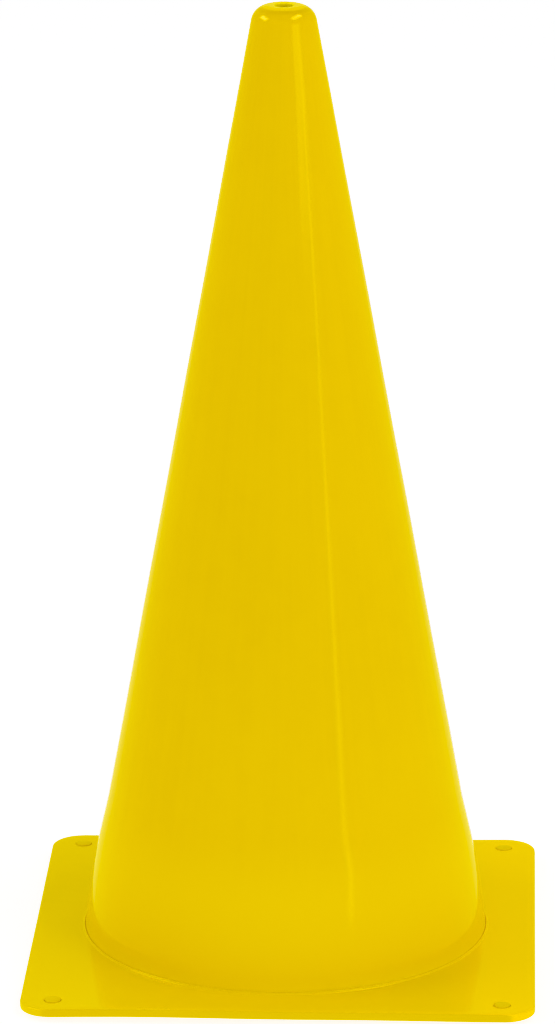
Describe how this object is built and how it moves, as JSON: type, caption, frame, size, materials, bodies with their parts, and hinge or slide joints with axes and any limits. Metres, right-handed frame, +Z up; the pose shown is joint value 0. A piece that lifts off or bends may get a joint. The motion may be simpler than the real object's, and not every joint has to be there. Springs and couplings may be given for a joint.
{
  "type": "traffic cone",
  "caption": "Slim hollow traffic cone with a rounded shoulder and a hole in its flat top, on a square base plate with rounded corners and push-in feet; the plate lifts off over the top.",
  "frame": {"origin": "on the ground at the cone's axis, the middle of the square base", "axes": "+Z up the cone's axis, -Y towards the front, +X to the right, X and Y square to the base plate's sides"},
  "size_m": [0.242, 0.242, 0.46],
  "materials": {
    "cone_plastic": "semi-gloss moulded yellow",
    "base_plastic": "semi-gloss moulded yellow",
    "foot_rubber": "satin moulded yellow rubber"
  },
  "bodies": {
    "cone": {"cone_body": "cone_plastic"},
    "base": {"base_plate": "base_plastic", "foot_front_left": "foot_rubber", "foot_front_right": "foot_rubber", "foot_back_left": "foot_rubber", "foot_back_right": "foot_rubber"}
  },
  "joints": [
    {"name": "base_lift", "type": "slide", "parent": "cone", "child": "base", "axis": [0, 0, 1], "range_m": [0, 0.47]}
  ]
}
